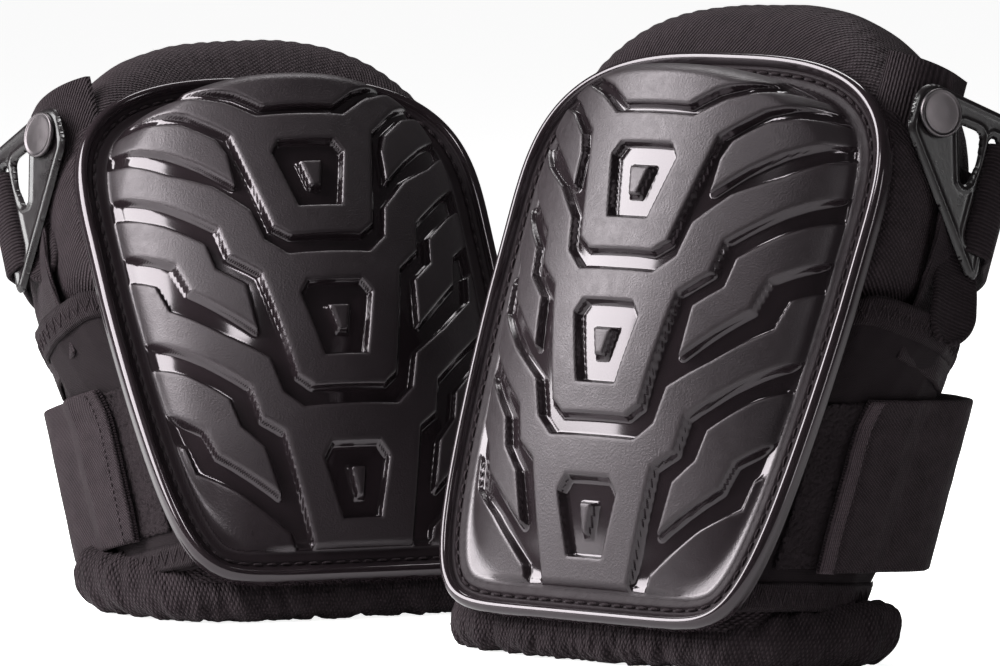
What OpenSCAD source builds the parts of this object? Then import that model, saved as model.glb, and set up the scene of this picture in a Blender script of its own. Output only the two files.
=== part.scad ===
// A mirror-image pair of gel knee pads with domed hard caps, standing on their lower rolls.
// Each pad is drawn in a frame of its own: X across, plus towards the buckle side, Y back from
// the cap's flange, Z up the cap, with the origin at the middle of the flange's lower edge.

/* [Pair] */
// Turn of the left pad about the vertical, in degrees
left_turn = 21.8; // [16:0.5:26]
// Turn of the right pad about the vertical, in degrees
right_turn = -38.8; // [-44:0.5:-34]
// Backward lean of the left pad's cap, in degrees
left_lean = 34.4; // [28:0.5:38]
// Backward lean of the right pad's cap, in degrees
right_lean = 24.7; // [20:0.5:30]
// Place of the left pad's flange edge, across
left_x = -47.5; // [-60:1:-30]
// Place of the left pad's flange edge, back
left_y = -20; // [-32:1:-2]
// Place of the right pad's flange edge, across
right_x = 24; // [10:1:45]
// Place of the right pad's flange edge, back
right_y = -145; // [-167:1:-132]
// Height of the flange's lower edge above the floor
cap_lift = 13.4; // [10:0.2:18]

/* [Cap] */
// Height of the cap over its bead
cap_h = 200; // [170:1:240]
// Width of the cap over its bead, at its widest
cap_w = 150; // [128:1:180]
// Width of the cap's lower end
cap_low_w = 130; // [110:1:150]
// Distance from the lower edge to the widest place
cap_wide_z = 142; // [120:1:168]
// Thickness of the flange
flange_t = 2.2; // [1.5:0.1:3]
// Width of the raised bead
bead_w = 4.6; // [3:0.1:6]
// Height of the bead
bead_h = 4.6; // [3.5:0.1:6]
// Width of the flange from the bead's outside to the dome
rim_w = 10.6; // [9:0.1:14]
// Greatest height of the dome above the flange's back
dome_h = 34.4; // [28:0.1:44]
// Radius of the dome's curve up the cap
dome_r = 426; // [350:1:520]
// Radius of the dome's upper edge
brow_r = 42; // [32:0.5:48]
// Wall of the dome
cap_wall = 3.2; // [2.4:0.1:4]
// Height of the raised tread plates
tread_h = 3; // [2:0.1:4]
// Thickness of the sewing thread
thread_t = 0.9; // [0.6:0.1:1.2]

/* [Soft body] */
// Width of the body behind the cap
body_w = 146; // [136:1:164]
// Radius of the body's front corners, seen from above
corner_r = 22; // [18:0.5:30]
// Depth of the foam from front to back
foam_d = 58; // [50:1:66]
// Thickness of the nylon cover
cover_t = 1.6; // [1:0.1:2.4]
// Height of the padded crown above the flange's lower edge
crown_z = 222; // [205:1:250]
// Radius of the crown's shoulders
crown_r = 48; // [40:1:60]
// Radius of the hollow for the knee
knee_r = 57; // [48:0.5:62]
// Foam left in front of the knee hollow
knee_foam = 25; // [22:0.5:32]
// Thickness of the mesh lining
lining_t = 1.5; // [1:0.1:2.5]
// Height of the roll that the pad stands on
roll_h = 15; // [12:0.5:20]
// Thickness of the gel pad
gel_t = 9; // [6:0.5:11]
// Width of the gel pad
gel_w = 86; // [70:1:100]
// Height of the gel pad
gel_h = 104; // [85:1:120]

/* [Wings] */
// Thickness of the foam-backed neoprene wings
wing_t = 10; // [8:0.5:10.5]
// Reach of the wings back from the flange
wing_d = 70; // [60:1:80]
// Height of the wing's top edge at the flange
wing_top_z = 122; // [105:1:135]
// Rise of the wing's top edge towards the back, in degrees
wing_top_rise = 4; // [0:1:12]
// Height of the wing's lower edge at the flange
hem_z = 9; // [6:0.5:14]
// Rise of the wing's lower edge towards the back, in degrees
hem_rise = 20; // [16:1:24]
// Width of the binding tapes
tape_w = 9; // [6:0.5:12]
// Thickness of the binding tapes
tape_t = 0.8; // [0.5:0.1:1.5]
// Place of the seam between the cover and the gussets, back from the flange
seam_y = 26; // [23:0.5:34]

/* [Straps] */
// Width of the lower elastic strap
low_strap_w = 60; // [50:1:66]
// Height of the lower strap's middle at the flange
low_strap_z = 52; // [48:1:64]
// Rise of the lower strap towards the back, in degrees
low_strap_rise = 21; // [20:1:26]
// Thickness of the lower strap
low_strap_t = 1.8; // [1.2:0.1:2.5]
// Thickness of the loop patch
loop_t = 1.4; // [1:0.1:2.4]
// Thickness of the hook patch
hook_t = 1; // [0.6:0.1:1.6]
// Front end of the lower strap, back from the flange
strap_end_y = 22; // [16:1:26]
// Place where the strap end lifts off, back from the flange
peel_y = 58; // [52:1:62]
// Width of the upper webbing
web_w = 38; // [30:1:40]
// Thickness of the webbing
web_t = 1.8; // [1.2:0.1:2.2]
// Depth of the strap loops behind the flange
loop_d = 118; // [110:1:124]
// Radius of the strap loops' back corners
loop_r = 48; // [36:1:60]

/* [Buckle] */
// Height of the stud above the flange's lower edge
stud_z = 187; // [175:1:200]
// Angle of the stud round the body's front corner, in degrees
stud_angle = 20; // [16:1:26]
// Radius of the stud's head
stud_head_r = 8; // [6:0.25:9]
// Radius of the stud's post
stud_post_r = 3; // [2:0.25:4]
// Thickness of the clip plate
clip_t = 3; // [2.4:0.1:4]
// Distance from the stud to the clip's slot
slot_y = 24; // [21:0.5:28]
// Drop of the slot's middle below the stud
slot_drop = 20; // [17:0.5:22]

/* [Hidden] */
$fn = 64;
PARTS = ["cap_shell", "cap_stitches", "cap_core", "front_cover", "comfort_foam", "gel_pad",
  "knee_lining", "outer_gusset", "inner_gusset", "outer_wing", "inner_wing",
  "outer_wing_binding", "inner_wing_binding", "outer_hem_binding", "inner_hem_binding",
  "loop_patch", "lower_strap", "strap_end", "hook_patch", "upper_strap", "strap_tongue",
  "clip", "stud_head", "stud_post", "stud_washer", "stud_patch"];

half_w = body_w / 2;
// Room between pieces that move against each other, and between pieces that only lie together
running_gap = 0.5;
lay_gap = 0.1;
part_gap = 0.3;
// Larger than any piece, for cutting shapes
reach = 400;
// Centre of the knee hollow and the inside of its lining, back from the flange
knee_y = knee_foam + knee_r;
hollow_r = knee_r + lining_t + lay_gap;
// Gel pad's place between the cover and the hollow
gel_y = cover_t + 4;
gel_z = cap_h * 0.5;
gel_corner = 22;
// Height where the crown's round shoulders start
shoulder_z = crown_z - crown_r;
// Dome: the axis that the cap's curve turns about, behind the flange
dome_axis_y = dome_r - dome_h;
dome_axis_z = cap_h * 0.845;
dome_half_w = cap_w / 2 - rim_w;
brow_z = cap_h - rim_w - brow_r;
outline_steps = 60;
dome_steps = 18;
groove_w = 1.6;
groove_in = bead_w + 1.2;
// Front edge of the wings, back from the flange
wing_y = 5;
// Offsets of the layers outside the wing
loop_out = wing_t + loop_t;
hook_out = loop_out + part_gap + hook_t;
strap_out = hook_out + low_strap_t;
patch_t = 0.8;
// Place of the stud on the rounded corner
stud_x = half_w - corner_r + corner_r * cos(stud_angle);
stud_y = corner_r - corner_r * sin(stud_angle);
clip_out = patch_t + 1.2;
head_out = clip_out + clip_t + running_gap;
head_t = 2.4;
washer_t = 1;
slot_w = web_t + 1.4;
slot_len = web_w + 1.5;
bar_w = 4.5;
window_y = slot_y - slot_w / 2 - bar_w;
// Where the webbing leaves the clip, in the pad's own frame
web_y = stud_y + (slot_y + slot_w) * cos(stud_angle) + 3.5;
web_x = stud_x + (slot_y + slot_w) * sin(stud_angle) + clip_out + clip_t;
web_z = stud_z - slot_drop;
clip_room = 9.5;

function lean(s) = s > 0 ? right_lean : left_lean;

// Half the cap outline's width at height z on its lower part
function low_half(z, inset) =
  cap_low_w / 2 - inset + (cap_w - cap_low_w) / 2 * sin(90 * z / cap_wide_z);

// One point of the cap's outline, at the angle t round it
function outline_point(t, inset) =
  let (
    c = cos(t),
    s = sin(t),
    power = s >= 0 ? 2 / 2.9 : 0.25,
    across = sign(c) * pow(abs(c), power),
    along = pow(abs(s), power),
    z = s >= 0 ? cap_wide_z + (cap_h - cap_wide_z - inset) * along
      : cap_wide_z - (cap_wide_z - inset) * along
  )
  [s >= 0 ? (cap_w / 2 - inset) * across : across * low_half(z, inset), z];

// Cap's outline, inset from the bead's outside
module outline(inset) {
  polygon([for (i = [0:outline_steps - 1]) outline_point((i + 0.5) * 360 / outline_steps, inset)]);
}

// Stands a front view sketch up and gives it depth, from y = -far to y = -near
module front(near, far) {
  translate([0, -near, 0]) rotate([90, 0, 0]) linear_extrude(far - near) children();
}

// Stands a side view sketch, drawn as back and up, across the pad from x = low to x = high
module side_view(low, high) {
  translate([low, 0, 0]) rotate([90, 0, 90]) linear_extrude(high - low) children();
}

// Puts a pad in its place: s is 1 for the right pad and -1 for the left one, which is mirrored
module stand(s) {
  translate([s > 0 ? right_x : left_x, s > 0 ? right_y : left_y, cap_lift])
    rotate([0, 0, s > 0 ? right_turn : left_turn])
      rotate([-lean(s), 0, 0])
        mirror([s > 0 ? 0 : 1, 0, 0])
          children();
}

// Keeps what lies between two heights above the floor
module slab(low, high) {
  intersection() {
    children();
    translate([-reach, -reach, low]) cube([2 * reach, 2 * reach, high - low]);
  }
}

// Domed block under the cap's outer surface, grown by g
module dome_block(g) {
  high = dome_h + g;
  wide = dome_half_w + g;
  intersection() {
    front(0, 60) outline(rim_w - g);
    translate([0, dome_axis_y, dome_axis_z]) rotate([0, 90, 0]) rotate_extrude($fn = 180)
      polygon(concat(
        [for (i = [0:dome_steps]) let (a = 180 - 180 * i / dome_steps)
          [dome_r - dome_h + high * sin(a), wide * cos(a)]],
        [[dome_r - dome_h - 12, wide], [dome_r - dome_h - 12, -wide]]));
    union() {
      translate([-reach / 2, -60, -10]) cube([reach, 62, brow_z + 10]);
      translate([-reach / 2, 6, brow_z]) rotate([0, 90, 0]) cylinder(r = brow_r + g, h = reach);
    }
  }
}

// Raised plates of the tread, seen from the front, as half outlines that are mirrored
CROWN_BAR = [[0, 170], [17, 170], [20, 175], [40, 173], [36, 180], [0, 185]];
PLATE_1 = [[0, 118], [12, 118], [17, 122], [25, 160], [54, 166], [58, 173], [40, 176], [24, 168],
  [16, 166], [0, 166]];
PLATE_2 = [[0, 64], [12, 64], [18, 68], [24, 112], [35, 115], [38, 125], [66, 143], [66, 158],
  [30, 137], [24, 120], [15, 111], [0, 111]];
PLATE_3 = [[0, 9], [17, 10], [24, 50], [31, 57], [34, 67], [60, 82], [66, 100], [66, 118],
  [30, 82], [24, 66], [15, 57], [0, 57]];
WEDGE_1 = [[29, 140], [36, 152], [62, 162], [60, 168], [33, 156]];
WEDGE_2 = [[30, 86], [48, 104], [52, 115], [68, 124], [67, 137], [45, 127], [37, 108]];
WEDGE_3 = [[29, 30], [33, 44], [41, 52], [43, 62], [64, 76], [62, 66], [50, 57], [47, 46]];
CORNER = [[24, 9], [26, 17], [43, 32], [54, 42], [58, 52], [63, 58], [64, 9]];

module both_sides() {
  children();
  mirror([1, 0, 0]) children();
}

module tread() {
  both_sides() {
    polygon(CROWN_BAR);
    polygon(PLATE_1);
    polygon(PLATE_2);
    polygon(PLATE_3);
    polygon(WEDGE_1);
    polygon(WEDGE_2);
    polygon(WEDGE_3);
    polygon(CORNER);
  }
}

// Recess in a middle plate: its lower edge, its height, and its half widths below and above
module recess(low, high, half_low, half_high) {
  difference() {
    polygon([[-half_low, low], [half_low, low], [half_high, high - 5], [half_high - 4, high],
      [4 - half_high, high], [-half_high, high - 5]]);
    polygon([[-2.5, low + 6], [2.5, low + 6], [4.5, high - 7], [-4.5, high - 7]]);
  }
}

module recesses() {
  recess(128, 156, 8.3, 13.5);
  recess(74, 101, 8.5, 13);
  recess(20, 45, 7.2, 11.5);
}

module cap_shell(s) {
  color([0.1, 0.09, 0.1]) stand(s) difference() {
    union() {
      difference() {
        front(0, flange_t) outline(0);
        front(flange_t - 0.8, flange_t + 1) difference() {
          outline(groove_in);
          outline(groove_in + groove_w);
        }
      }
      front(0, bead_h) difference() {
        outline(0);
        outline(bead_w);
      }
      dome_block(0);
      intersection() {
        dome_block(tread_h);
        front(1, 60) difference() {
          tread();
          recesses();
        }
      }
    }
    dome_block(-cap_wall);
  }
}

module cap_stitches(s) {
  wide = groove_w - 0.4;
  color([0.16, 0.15, 0.16]) stand(s)
    front(flange_t - 0.8, flange_t - 0.8 + thread_t) difference() {
      outline(groove_in + 0.2);
      outline(groove_in + 0.2 + wide);
    }
}

module cap_core(s) {
  color([0.3, 0.3, 0.32]) stand(s) dome_block(-cap_wall - lay_gap);
}

// Plan of the soft body seen from above, open to the back, grown by g
module plan(g) {
  middle = half_w - corner_r;
  translate([-middle, -g]) square([2 * middle, reach / 2 + g]);
  translate([-half_w - g, corner_r]) square([2 * (half_w + g), reach / 2 - corner_r]);
  for (side = [-1, 1]) translate([side * middle, corner_r]) circle(r = corner_r + g);
}

// Layer round the body from the offset inner to the offset outer
module layer(inner, outer) {
  translate([0, 0, -80]) linear_extrude(reach) difference() {
    plan(outer);
    plan(inner);
  }
}

// Front view of the whole soft body with its round crown, grown by g
module crown(g) {
  middle = half_w - crown_r;
  translate([-half_w - g, -80]) square([2 * (half_w + g), 80 + crown_z - crown_r]);
  translate([-middle, -80]) square([2 * middle, 80 + crown_z + g]);
  for (side = [-1, 1]) translate([side * middle, crown_z - crown_r]) circle(r = crown_r + g);
}

// Upright column of the knee hollow
module knee_column(r) {
  translate([0, knee_y, -100]) cylinder(r = r, h = reach, $fn = 96);
}

module front_cover(s) {
  color([0.1, 0.1, 0.11]) slab(roll_h, reach) stand(s) intersection() {
    union() {
      intersection() {
        layer(-cover_t, 0);
        front(-seam_y, 1) crown(0);
      }
      intersection() {
        front(-foam_d, 1) difference() {
          crown(0);
          crown(-cover_t);
        }
        translate([-reach / 2, -1, shoulder_z]) cube([reach, reach, reach]);
      }
    }
    translate([0, 0, -80]) linear_extrude(reach) plan(0);
  }
}

module comfort_foam(s) {
  color([0.35, 0.35, 0.38]) slab(roll_h, reach) stand(s) difference() {
    intersection() {
      translate([0, 0, -80]) linear_extrude(reach) plan(-cover_t - part_gap);
      front(-foam_d, 0) crown(-cover_t - part_gap);
    }
    knee_column(hollow_r);
    gel_shape(part_gap);
  }
}

// Gel pad, grown by g
module gel_shape(g) {
  front(-gel_y - gel_t - g, -gel_y + g) translate([0, gel_z]) {
    for (x = [-1, 1]) for (z = [-1, 1])
      translate([x * (gel_w / 2 - gel_corner), z * (gel_h / 2 - gel_corner)])
        circle(r = gel_corner + g);
    square([gel_w + 2 * g, gel_h - 2 * gel_corner], center = true);
    square([gel_w - 2 * gel_corner, gel_h + 2 * g], center = true);
  }
}

module gel_pad(s) {
  color([0.2, 0.35, 0.75]) stand(s) gel_shape(0);
}

module knee_lining(s) {
  color([0.14, 0.14, 0.15]) {
    slab(0, roll_h) stand(s) difference() {
      translate([0, 0, -80]) linear_extrude(reach) intersection() {
        plan(0);
        translate([-reach / 2, 0]) square([reach, foam_d]);
      }
      knee_column(knee_r);
    }
    slab(roll_h, reach) stand(s) intersection() {
      difference() {
        knee_column(knee_r + lining_t);
        knee_column(knee_r);
      }
      front(-foam_d, 0) crown(-cover_t - lay_gap);
    }
  }
}

// Line that rises towards the back: its height at y
function rise(z0, angle, y) = z0 + y * tan(angle);

// Strip in side view between two such lines, from y0 to y1
module strip(low_z, low_angle, high_z, high_angle, y0, y1) {
  polygon([[y0, rise(low_z, low_angle, y0)], [y1, rise(low_z, low_angle, y1)],
    [y1, rise(high_z, high_angle, y1)], [y0, rise(high_z, high_angle, y0)]]);
}

// Half of the pad on one side: 1 for the outer side, -1 for the inner one
module half(side) {
  side_view(side > 0 ? 10 : -reach / 2, side > 0 ? reach / 2 : -10) children();
}

module wing(s, side) {
  color([0.12, 0.12, 0.13]) stand(s) intersection() {
    layer(lay_gap, wing_t);
    half(side) strip(hem_z, hem_rise, wing_top_z, wing_top_rise, wing_y, wing_d);
  }
}

module outer_wing(s) {
  wing(s, 1);
}

module inner_wing(s) {
  wing(s, -1);
}

// Gusset between the cover, the crown and the wing, tucked behind the wing's top edge
tuck = 14;
module gusset(s, side) {
  color([0.13, 0.13, 0.14]) stand(s) intersection() {
    layer(-cover_t, 0);
    half(side)
      strip(wing_top_z - tuck, wing_top_rise, shoulder_z - lay_gap, 0, seam_y + lay_gap, foam_d);
  }
}

module outer_gusset(s) {
  gusset(s, 1);
}

module inner_gusset(s) {
  gusset(s, -1);
}

module wing_binding(s, side) {
  color([0.17, 0.17, 0.18]) stand(s) intersection() {
    layer(wing_t, wing_t + tape_t);
    half(side)
      strip(wing_top_z - tape_w, wing_top_rise, wing_top_z, wing_top_rise, wing_y, wing_d);
  }
}

module outer_wing_binding(s) {
  wing_binding(s, 1);
}

module inner_wing_binding(s) {
  wing_binding(s, -1);
}

module hem_binding(s, side) {
  color([0.17, 0.17, 0.18]) slab(1, reach) stand(s) intersection() {
    layer(wing_t, wing_t + tape_t);
    half(side) strip(hem_z, hem_rise, hem_z + tape_w, hem_rise, wing_y, wing_d);
  }
}

module outer_hem_binding(s) {
  hem_binding(s, 1);
}

module inner_hem_binding(s) {
  hem_binding(s, -1);
}

// Sloping strip of the lower strap in side view
module low_strip(wide, y0, y1) {
  strip(low_strap_z - wide / 2, low_strap_rise, low_strap_z + wide / 2, low_strap_rise, y0, y1);
}

module loop_patch(s) {
  color([0.2, 0.2, 0.21]) stand(s) intersection() {
    layer(wing_t, loop_out);
    half(1) low_strip(low_strap_w - 4, wing_y + 5, wing_d - 2);
  }
}

module hook_patch(s) {
  color([0.15, 0.15, 0.15]) stand(s) intersection() {
    layer(loop_out + part_gap, hook_out);
    half(1) low_strip(low_strap_w - 6, strap_end_y + 3, peel_y - 4);
  }
}

module strap_end(s) {
  color([0.3, 0.29, 0.3]) stand(s) intersection() {
    layer(hook_out, strap_out);
    half(1) low_strip(low_strap_w, strap_end_y, peel_y);
  }
}

// Loop of a strap behind the pad, from x = low to x = high, grown by g
module loop_plan(low, high, g) {
  translate([low - g, 0]) square([high - low + 2 * g, loop_d - loop_r]);
  translate([low + loop_r, 0]) square([high - low - 2 * loop_r, loop_d + g]);
  for (x = [low + loop_r, high - loop_r]) translate([x, loop_d - loop_r]) circle(r = loop_r + g);
}

module strap_loop(low, high, thick) {
  translate([0, 0, -80]) linear_extrude(reach) difference() {
    loop_plan(low, high, thick);
    loop_plan(low, high, 0);
  }
}

// All but the outer side's front, up to y
module clear_front(y) {
  translate([0, 0, -80]) linear_extrude(reach)
    polygon([[-reach / 2, 0], [0, 0], [0, y], [reach / 2, y], [reach / 2, reach / 2],
      [-reach / 2, reach / 2]]);
}

module lower_strap(s) {
  color([0.3, 0.29, 0.3]) stand(s) intersection() {
    strap_loop(-half_w - wing_t - tape_t, half_w + hook_out, low_strap_t);
    side_view(-reach / 2, reach / 2) low_strip(low_strap_w, strap_end_y, loop_d + 20);
    clear_front(peel_y + running_gap);
  }
}

module upper_strap(s) {
  color([0.15, 0.14, 0.15]) stand(s) intersection() {
    strap_loop(-half_w, web_x, web_t);
    side_view(-reach / 2, reach / 2)
      strip(web_z - web_w / 2, 0, web_z + web_w / 2, 0, seam_y + 4, loop_d + 20);
    clear_front(web_y + clip_room);
  }
}

// Free end of the webbing: it comes out of the slot and hangs down outside the clip
tongue_x = clip_out + clip_t + running_gap;
tongue_y = slot_y + slot_w / 2 - 1;
tongue_fall = 46;
tongue_tip = 17;
module strap_tongue(s) {
  top = web_w / 2 - slot_drop;
  low = -web_w / 2 - slot_drop;
  color([0.16, 0.15, 0.16]) stand(s) on_stud() side_view(tongue_x, tongue_x + web_t)
    polygon([[tongue_y, top], [tongue_y, low], [tongue_y + 4, low - 14],
      [tongue_y + 9, top - tongue_fall - 4], [tongue_y + 13, top - tongue_fall - 8],
      [tongue_y + tongue_tip, top - tongue_fall - 9], [tongue_y + tongue_tip + 5, top - tongue_fall - 6],
      [tongue_y + tongue_tip + 8, top - tongue_fall], [tongue_y + tongue_tip + 9, low - 2],
      [tongue_y + tongue_tip + 3, low + 16], [tongue_y + 8, top]]);
}

// Puts a piece on the stud's axis: X runs out of the body, Y back along the clip
module on_stud() {
  translate([stud_x, stud_y, stud_z]) rotate([0, 0, -stud_angle]) children();
}

// Disc or post on the stud's axis
module stud_disc(r, from, to) {
  translate([from, 0, 0]) rotate([0, 90, 0]) cylinder(r = r, h = to - from);
}

module clip_outline() {
  hull() {
    circle(r = stud_head_r + 2.5, $fn = 32);
    for (z = [-1, 1])
      translate([slot_y + slot_w / 2 + bar_w - 4, z * (slot_len / 2 + 1) - slot_drop])
        circle(r = 4, $fn = 24);
  }
}

module clip_window() {
  hull() {
    circle(r = stud_post_r + 0.3, $fn = 32);
    for (z = [-1, 1])
      translate([window_y - 2.5, z * 10 - slot_drop / 2]) circle(r = 2.5, $fn = 24);
  }
}

module clip(s) {
  color([0.09, 0.09, 0.1]) stand(s) on_stud() side_view(clip_out, clip_out + clip_t) difference() {
    clip_outline();
    clip_window();
    translate([slot_y - slot_w / 2, -slot_drop - slot_len / 2]) square([slot_w, slot_len]);
  }
}

module stud_head(s) {
  color([0.45, 0.44, 0.46]) stand(s) on_stud() {
    stud_disc(stud_head_r, head_out, head_out + head_t * 0.6);
    stud_disc(stud_head_r - 1, head_out + head_t * 0.6, head_out + head_t);
  }
}

module stud_post(s) {
  color([0.5, 0.5, 0.52]) stand(s) on_stud()
    stud_disc(stud_post_r, -cover_t - lay_gap, head_out);
}

module stud_washer(s) {
  color([0.5, 0.5, 0.52]) stand(s) on_stud()
    stud_disc(stud_head_r, -cover_t - washer_t - lay_gap, -cover_t - lay_gap);
}

module stud_patch(s) {
  color([0.15, 0.15, 0.16]) stand(s) intersection() {
    layer(lay_gap, patch_t);
    side_view(10, reach / 2) translate([stud_y, stud_z]) square([26, 34], center = true);
  }
}

cap_shell(1);  // right_cap_shell
cap_stitches(1);  // right_cap_stitches
cap_core(1);  // right_cap_core
front_cover(1);  // right_front_cover
comfort_foam(1);  // right_comfort_foam
gel_pad(1);  // right_gel_pad
knee_lining(1);  // right_knee_lining
outer_gusset(1);  // right_outer_gusset
inner_gusset(1);  // right_inner_gusset
outer_wing(1);  // right_outer_wing
inner_wing(1);  // right_inner_wing
outer_wing_binding(1);  // right_outer_wing_binding
inner_wing_binding(1);  // right_inner_wing_binding
outer_hem_binding(1);  // right_outer_hem_binding
inner_hem_binding(1);  // right_inner_hem_binding
loop_patch(1);  // right_loop_patch
lower_strap(1);  // right_lower_strap
strap_end(1);  // right_strap_end
hook_patch(1);  // right_hook_patch
upper_strap(1);  // right_upper_strap
strap_tongue(1);  // right_strap_tongue
clip(1);  // right_clip
stud_head(1);  // right_stud_head
stud_post(1);  // right_stud_post
stud_washer(1);  // right_stud_washer
stud_patch(1);  // right_stud_patch
cap_shell(-1);  // left_cap_shell
cap_stitches(-1);  // left_cap_stitches
cap_core(-1);  // left_cap_core
front_cover(-1);  // left_front_cover
comfort_foam(-1);  // left_comfort_foam
gel_pad(-1);  // left_gel_pad
knee_lining(-1);  // left_knee_lining
outer_gusset(-1);  // left_outer_gusset
inner_gusset(-1);  // left_inner_gusset
outer_wing(-1);  // left_outer_wing
inner_wing(-1);  // left_inner_wing
outer_wing_binding(-1);  // left_outer_wing_binding
inner_wing_binding(-1);  // left_inner_wing_binding
outer_hem_binding(-1);  // left_outer_hem_binding
inner_hem_binding(-1);  // left_inner_hem_binding
loop_patch(-1);  // left_loop_patch
lower_strap(-1);  // left_lower_strap
strap_end(-1);  // left_strap_end
hook_patch(-1);  // left_hook_patch
upper_strap(-1);  // left_upper_strap
strap_tongue(-1);  // left_strap_tongue
clip(-1);  // left_clip
stud_head(-1);  // left_stud_head
stud_post(-1);  // left_stud_post
stud_washer(-1);  // left_stud_washer
stud_patch(-1);  // left_stud_patch
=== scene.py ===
# Looks of a mirror-image pair of gel knee pads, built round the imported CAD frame.
import math
import bpy
import numpy as np
from mathutils import Matrix


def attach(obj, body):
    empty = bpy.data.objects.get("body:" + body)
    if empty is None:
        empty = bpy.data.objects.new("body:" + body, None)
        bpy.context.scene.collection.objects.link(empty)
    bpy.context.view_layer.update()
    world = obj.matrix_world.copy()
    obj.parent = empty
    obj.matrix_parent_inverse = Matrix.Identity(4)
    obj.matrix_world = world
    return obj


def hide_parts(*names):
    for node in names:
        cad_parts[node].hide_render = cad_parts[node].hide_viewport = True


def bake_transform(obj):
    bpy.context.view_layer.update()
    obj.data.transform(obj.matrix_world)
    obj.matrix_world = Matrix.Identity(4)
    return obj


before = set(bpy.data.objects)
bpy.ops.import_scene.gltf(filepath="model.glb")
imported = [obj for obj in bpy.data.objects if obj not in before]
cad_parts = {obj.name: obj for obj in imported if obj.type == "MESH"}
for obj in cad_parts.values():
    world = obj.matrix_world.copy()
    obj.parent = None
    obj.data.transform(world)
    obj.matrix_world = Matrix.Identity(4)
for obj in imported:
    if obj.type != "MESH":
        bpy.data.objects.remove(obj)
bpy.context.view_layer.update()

# ---------------------------------------------------------------- placement
# Each pad is drawn in millimetres in a frame of its own, as in the CAD: X across (plus towards
# the buckle), Y back from the cap's flange, Z up the cap. The left pad mirrors X.
PADS = {
    "right": {"turn": -38.8, "lean": 24.7, "at": (24.0, -145.0, 13.4), "hand": 1},
    "left": {"turn": 21.8, "lean": 34.4, "at": (-47.5, -20.0, 13.4), "hand": -1},
}
HALF_W = 73.0
CAP_W, CAP_LOW_W, CAP_WIDE_Z, CAP_H = 75.0, 65.25, 142.0, 200.0
RIM = 10.6
TREAD_H = 3.4
STUD_Z, STUD_ANGLE, CORNER_R = 187.0, 20.0, 22.0
ELASTIC_W, WEB_W, WEB_DROP = 60, 38, 20


def axes_of(pad):
    a, b = math.radians(PADS[pad]["turn"]), math.radians(-PADS[pad]["lean"])
    turn = np.array([[math.cos(a), -math.sin(a), 0], [math.sin(a), math.cos(a), 0], [0, 0, 1]])
    lean = np.array([[1, 0, 0], [0, math.cos(b), -math.sin(b)], [0, math.sin(b), math.cos(b)]])
    return turn @ lean @ np.diag([PADS[pad]["hand"], 1, 1])


def to_world(pad, points):
    return (np.asarray(points, float) @ axes_of(pad).T + np.array(PADS[pad]["at"])) * 0.001


def pad_z(pad, height, y):
    """Height up the pad of a point that lies this high above the floor."""
    lean = math.radians(PADS[pad]["lean"])
    return (height - PADS[pad]["at"][2] + y * math.sin(lean)) / math.cos(lean)


# ---------------------------------------------------------------- mesh helpers
def smooth(t):
    t = np.clip(t, 0, 1)
    return t * t * (3 - 2 * t)


def spline(points, count):
    """Catmull-Rom curve through the points, as count samples spaced evenly along it."""
    p = np.asarray(points, float)
    p = np.vstack([2 * p[0] - p[1], p, 2 * p[-1] - p[-2]])
    out = []
    for i in range(1, len(p) - 2):
        t = np.linspace(0, 1, 24, endpoint=False)[:, None]
        a, b, c, d = p[i - 1], p[i], p[i + 1], p[i + 2]
        out.append(0.5 * (2 * b + (c - a) * t + (2 * a - 5 * b + 4 * c - d) * t ** 2
                          + (3 * b - a - 3 * c + d) * t ** 3))
    out.append(p[-2][None])
    return resample(np.vstack(out), count)


def resample(p, count):
    s = np.concatenate([[0], np.cumsum(np.linalg.norm(np.diff(p, axis=0), axis=1))])
    at = np.linspace(0, s[-1], count)
    return np.stack([np.interp(at, s, p[:, k]) for k in range(p.shape[1])], 1)


def length_of(p):
    """Length of a path in metres."""
    return round(float(np.linalg.norm(np.diff(p, axis=0), axis=1).sum()) / 1000, 3)


def quads_of(rows, cols, wrap=False):
    c = cols if wrap else cols - 1
    r, k = np.meshgrid(np.arange(rows - 1), np.arange(c), indexing="ij")
    n = (k + 1) % cols
    return np.stack([r * cols + k, r * cols + n, (r + 1) * cols + n, (r + 1) * cols + k],
                    -1).reshape(-1, 4)


def piece(name, pad, points, quads, material, body="pad", lay=None, mask=None):
    points = np.asarray(points, float).reshape(-1, 3)
    quads = np.asarray(quads, np.int32)
    if PADS[pad]["hand"] < 0:
        quads = quads[:, ::-1]
    mesh = bpy.data.meshes.new(pad + "_" + name)
    mesh.vertices.add(len(points))
    mesh.vertices.foreach_set("co", to_world(pad, points).astype(np.float32).ravel())
    mesh.loops.add(quads.size)
    mesh.loops.foreach_set("vertex_index", np.ascontiguousarray(quads).ravel())
    mesh.polygons.add(len(quads))
    mesh.polygons.foreach_set("loop_start", np.arange(0, quads.size, 4, dtype=np.int32))
    mesh.polygons.foreach_set("use_smooth", np.ones(len(quads), bool))
    mesh.update(calc_edges=True)
    mesh.validate()
    if lay is not None:
        a = mesh.attributes.new("lay", "FLOAT_VECTOR", "POINT")
        a.data.foreach_set("vector", np.asarray(lay, np.float32).ravel())
    if mask is not None:
        a = mesh.attributes.new("plate", "FLOAT", "POINT")
        a.data.foreach_set("value", np.asarray(mask, np.float32).ravel())
    mesh.materials.append(material)
    obj = bpy.data.objects.new(pad + "_" + name, mesh)
    bpy.context.scene.collection.objects.link(obj)
    if body:
        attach(obj, pad + "_" + body)
    return obj


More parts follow.
